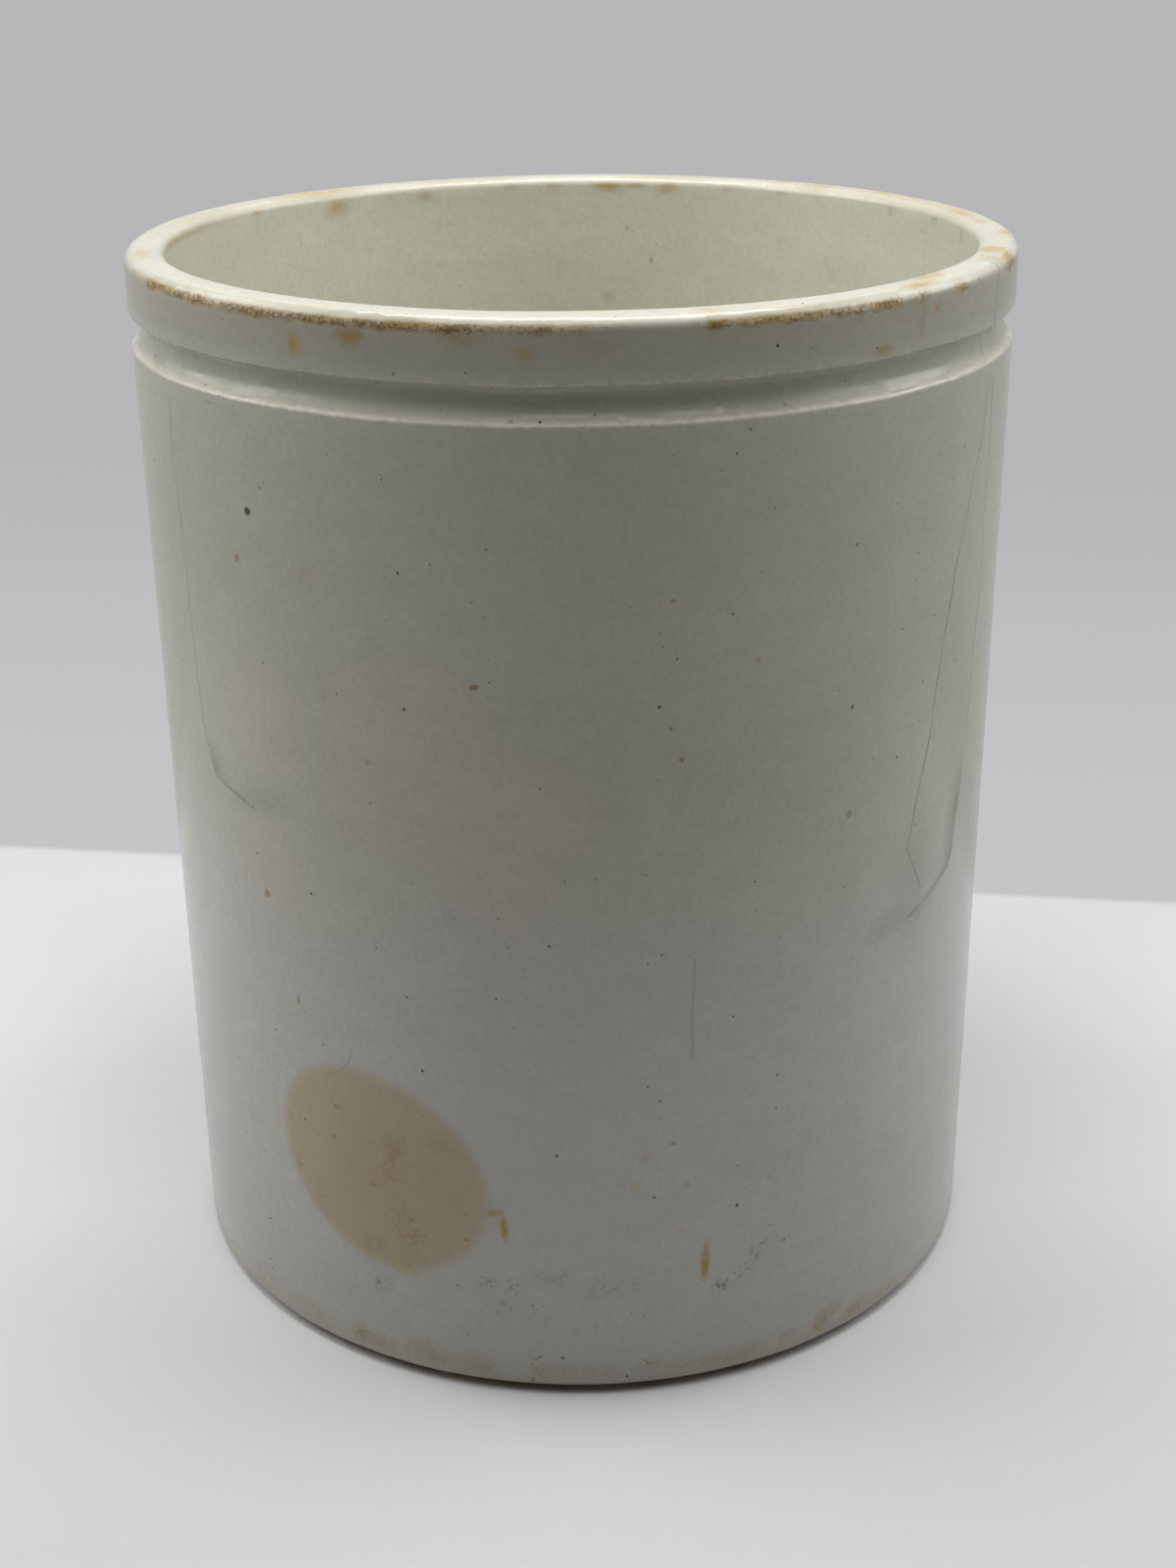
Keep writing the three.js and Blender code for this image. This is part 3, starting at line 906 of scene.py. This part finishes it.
    # Uneven gloss, and relief in millimetres
    dull = stained.most(grains).most(dirt).most(smears)
    groove = z.rise(shoulder - 1.5, shoulder) * z.fall(band_bottom - 1, band_bottom + 0.5)
    patchy = patches.step(0.42, 0.58, 0.25, -0.06) * outside
    roughness = (dull * 0.3 + groove * patchy + (streaks - 0.5) * 0.1 + looks.roughness).most(0.05)
    relief = nodes.noise(place, DIMPLE_SIZE, 3.0) * 0.04 + grain * (grains * 0.06 + top * 0.02 + 0.004)
    relief = relief + broken * (groove * 0.03 + top * 0.02 + 0.004)
    nodes.surface(nodes.scaled(colour, tone), roughness, relief)
    return material


class ClayLooks(bpy.types.PropertyGroup):
    """Colours of the bare clay"""

    clay: shade("Clay", "Clean fired clay", (0.62, 0.54, 0.39))
    stain: shade("Stain", "Stains under the foot", (0.30, 0.21, 0.12))


def clay_finish(looks):
    material, nodes = new_finish("clay")
    paint = Painter(nodes)
    grain = nodes.noise(paint.place, GRAIN_SIZE, 4.0, 0.65)
    blotches = nodes.noise(paint.place, 9, 3.0, 0.6)
    ring = paint.z.fall(0.1, 1.2) * 0.35
    stains = (blotches + ring * 0.4).rise(0.5, 0.78) * 0.8
    colour = nodes.mix(stains, looks.clay, looks.stain)
    colour = nodes.mix(paint.specks(3.0, 0.4), colour, looks.stain)
    nodes.surface(nodes.scaled(colour, (grain - 0.5) * 0.3 + 1), 0.9, grain * 0.08)
    return material


class StageLooks(bpy.types.PropertyGroup):
    """The floor, the light and the camera"""

    floor: shade("Floor", "Colour of the floor", (0.76, 0.76, 0.78))
    backdrop: shade("Backdrop", "Colour behind the jar", (0.47, 0.465, 0.48))
    backdrop_low: shade("Backdrop low", "Its colour where the sheet ends", (0.555, 0.55, 0.565))
    sheet_edge: length("Sheet edge", "How far behind the jar the floor sheet ends", 101)
    sheet_slant: number("Sheet slant", "Slope of that edge, seen from above", 0.143)
    sheet_reach: length("Sheet reach", "Distance from the axis at which it starts to fade", 200)
    bounce: fraction("Bounce", "Share of the floor's colour that lights the jar", 0.64)
    ambient: number("Ambient", "Light from all round", 0.01)
    camera_distance: length("Camera distance", "From the jar's axis", 290.3)
    camera_height: length("Camera height", "Above the floor", 183.5)
    camera_pitch: degrees("Camera pitch", "Downward tilt", 22.73)
    camera_yaw: degrees("Camera yaw", "Turn to the right", 0.256)
    camera_roll: degrees("Camera roll", "Tilt of the picture", -0.57)
    lens: number("Lens", "Focal length in millimetres", 51.49)


# How far the sheet fades into the backdrop: across its far edge, round its sides, and in the backdrop's tint
EDGE_BLUR = 0.003
SIDE_BLUR = 0.25
TINT_BLUR = 0.35

FLOOR_RADIUS = 4.0
FLOOR_SIDES = 96

# The camera's sensor in millimetres, and the nearest distance that it shows
SENSOR_WIDTH = 36
CLIP_START = 0.01


def seen_rays(nodes):
    """1 for rays that show a surface, to the camera or in gloss and glass, and 0 for rays that light it"""
    rays = nodes.node("ShaderNodeLightPath", output="Is Camera Ray")
    return rays.most(rays.also("Is Glossy Ray")).most(rays.also("Is Transmission Ray"))


def floor_finish(looks):
    """A pale sheet that ends behind the jar and fades out all round, into a backdrop in plain light"""
    material, nodes = new_finish("floor")
    place = nodes.node("ShaderNodeTexCoord", output="Object")
    x = nodes.node("ShaderNodeSeparateXYZ", {"Vector": place})
    y = x.also("Y")
    away = (x * x + y * y).math("SQRT") - looks.sheet_reach
    seen = seen_rays(nodes)
    # Painted light and shade on the sheet from front to back: dimmer in front of the jar, brightest round it
    # and dimmer again behind
    painted_light_falloff = y.step(-0.085, -0.01, 0.86, 1.16, "LINEAR") * y.step(0.03, 0.09, 1, 0.88)
    bounced = [looks.bounce * value for value in looks.floor]
    shown_floor = nodes.mix(seen, bounced, nodes.scaled(looks.floor, painted_light_falloff))
    lit = nodes.node("ShaderNodeBsdfDiffuse", {"Color": shown_floor})
    behind = y + x * looks.sheet_slant - looks.sheet_edge
    tint = nodes.mix(behind.most(away).rise(0, TINT_BLUR), looks.backdrop_low, looks.backdrop)
    pale = nodes.node("ShaderNodeEmission", {"Color": tint})
    past_sheet = behind.rise(0, EDGE_BLUR).most(away.rise(0, SIDE_BLUR))
    shown = nodes.node("ShaderNodeMixShader", {0: past_sheet * seen, 1: lit, 2: pale})
    nodes.node("ShaderNodeOutputMaterial", {"Surface": shown})
    return material


def add_floor(looks):
    mesh = bpy.data.meshes.new("floor")
    shape = bmesh.new()
    bmesh.ops.create_circle(shape, cap_ends=True, segments=FLOOR_SIDES, radius=FLOOR_RADIUS)
    shape.to_mesh(mesh)
    shape.free()
    mesh.materials.append(floor_finish(looks))
    floor = new_object("floor", mesh)


class Lamp(NamedTuple):
    """A soft lamp that faces the middle of the jar: its place and size in metres and its power in watts"""

    name: str
    place: tuple
    size: tuple
    power: float


LAMPS = (
    Lamp("top_lamp", (0, 0, 0.45), (0.36, 0.10), 1.18),
    Lamp("front_lamp", (0, -0.16, 0.46), (0.36, 0.24), 0.43),
    Lamp("left_lamp", (-0.37, 0.02, 0.34), (0.36, 0.26), 0.94),
    Lamp("right_lamp", (0.37, 0.02, 0.34), (0.36, 0.26), 0.79),
)


def add_lamp(lamp):
    light = bpy.data.lights.new(lamp.name, "AREA")
    light.shape = "RECTANGLE"
    light.size, light.size_y = lamp.size
    light.energy = lamp.power
    holder = new_object(lamp.name, light)
    holder.location = lamp.place
    aim = Vector((0, 0, CAD_HIGH.z / 2)) - holder.location
    holder.rotation_euler = aim.to_track_quat("-Z", "Y").to_euler()
    holder.visible_camera = False


def set_world(looks):
    world = bpy.data.worlds.new("studio")
    world.use_nodes = True
    world.node_tree.nodes.clear()
    nodes = Nodes(world.node_tree)
    ambient = nodes.node("ShaderNodeBackground", {"Color": (1, 1, 1), "Strength": looks.ambient})
    behind = nodes.node("ShaderNodeBackground", {"Color": looks.backdrop})
    shown = nodes.node("ShaderNodeMixShader", {0: seen_rays(nodes), 1: ambient, 2: behind})
    nodes.node("ShaderNodeOutputWorld", {"Surface": shown})
    bpy.context.scene.world = world


def add_camera(looks):
    data = bpy.data.cameras.new("camera")
    data.lens = looks.lens
    data.sensor_width = SENSOR_WIDTH
    data.clip_start = CLIP_START
    camera = new_object("camera", data)
    place = Matrix.Translation((0, -looks.camera_distance, looks.camera_height))
    yaw = Matrix.Rotation(-looks.camera_yaw, 4, "Z")
    pitch = Matrix.Rotation(math.pi / 2 - looks.camera_pitch, 4, "X")
    roll = Matrix.Rotation(looks.camera_roll, 4, "Z")
    camera.matrix_world = place @ yaw @ pitch @ roll
    bpy.context.scene.camera = camera


class JAR_OT_clay_body(bpy.types.Operator):
    """Turns the clay pot, bare on its foot"""

    bl_idname = "jar.clay_body"
    bl_label = "Clay body"

    def execute(self, context):
        sizes = context.scene.jar_sizes
        surface = inset_surface(finished_surface(sizes), GLAZE_THICKNESS + BOND_GAP)
        wall = starting_at(surface, sizes.bevel_height, sizes.foot_rounding)
        ring_outside = wall[0].point.x - sizes.bevel_width
        ring_inside = ring_outside - sizes.ring_width
        covered = starting_at(surface, sizes.glaze_line * 2)
        bare = [
            corner(0, sizes.recess_depth),
            corner(ring_inside - sizes.recess_slope, sizes.recess_depth),
            corner(ring_inside, 0),
            corner(ring_outside, 0),
            wall[0],
            covered[0],
        ]
        runs = [
            (rounded_section(bare, BARE_ARC), SEEN_ROOM),
            (rounded_section(covered, COVERED_ARC), HIDDEN_ROOM),
        ]
        piece = turned_piece("clay_pot", runs, no_marks, sizes, clay_finish(context.scene.clay_looks))
        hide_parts("clay_body")
        return {"FINISHED"}


class JAR_OT_glaze_coat(bpy.types.Operator):
    """Turns the fused glass skin over the clay"""

    bl_idname = "jar.glaze_coat"
    bl_label = "Glaze coat"

    def execute(self, context):
        sizes = context.scene.jar_sizes
        surface = finished_surface(sizes)
        clay_face = starting_at(inset_surface(surface, GLAZE_THICKNESS), sizes.glaze_line)
        bead, *rest = starting_at(surface, sizes.glaze_line, sizes.glaze_bead)
        stained_foot = starting_at(surface, sizes.glaze_line + STAINED_FOOT)[0]._replace(step=FINE_STEP)
        mouth, floor_edge, middle = rest[-3:]
        stained_mouth = Corner(mouth.point.lerp(floor_edge.point, STAINED_MOUTH), step=FINE_STEP)
        start = Corner(clay_face[0].point)
        outer = [start, bead, stained_foot, *rest[:-2], stained_mouth, floor_edge, middle]
        runs = [
            (rounded_section(clay_face, BONDED_ARC)[::-1], HIDDEN_ROOM),
            (rounded_section(outer, GLAZED_ARC), SEEN_ROOM),
        ]
        material = glaze_finish(context.scene.glaze_looks, sizes)
        worn = {"Chip": sizes.chip, "Edge wear": sizes.edge_wear, "Foot wave": sizes.foot_wave}
        piece = turned_piece("glaze_skin", runs, glaze_marks, sizes, material, **worn)
        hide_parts("glaze_coat")
        return {"FINISHED"}


class JAR_OT_stage(bpy.types.Operator):
    """Sets the floor, the lamps, the world and the camera"""

    bl_idname = "jar.stage"
    bl_label = "Stage"

    def execute(self, context):
        looks = context.scene.stage_looks
        context.scene.view_settings.view_transform = "Standard"
        add_floor(looks)
        for lamp in LAMPS:
            add_lamp(lamp)
        set_world(looks)
        add_camera(looks)
        return {"FINISHED"}


class JAR_PT_panel(bpy.types.Panel):
    """Lists the jar's pieces"""

    bl_idname = "JAR_PT_panel"
    bl_label = "Marmalade jar"
    bl_space_type = "VIEW_3D"
    bl_region_type = "UI"
    bl_category = "Jar"

    def draw(self, context):
        for operator in OPERATORS:
            self.layout.operator(operator.bl_idname)


OPERATORS = (JAR_OT_stage, JAR_OT_clay_body, JAR_OT_glaze_coat)
PROPERTIES = {
    "jar_sizes": JarSizes,
    "glaze_looks": GlazeLooks,
    "clay_looks": ClayLooks,
    "stage_looks": StageLooks,
}


def register():
    for made in (*PROPERTIES.values(), *OPERATORS, JAR_PT_panel):
        bpy.utils.register_class(made)
    for name, group in PROPERTIES.items():
        setattr(bpy.types.Scene, name, PointerProperty(type=group))


def unregister():
    for name in PROPERTIES:
        delattr(bpy.types.Scene, name)
    for made in (JAR_PT_panel, *OPERATORS, *PROPERTIES.values()):
        bpy.utils.unregister_class(made)


def main():
    register()
    bpy.ops.jar.stage()
    bpy.ops.jar.clay_body()
    bpy.ops.jar.glaze_coat()


if __name__ == "__main__":
    main()
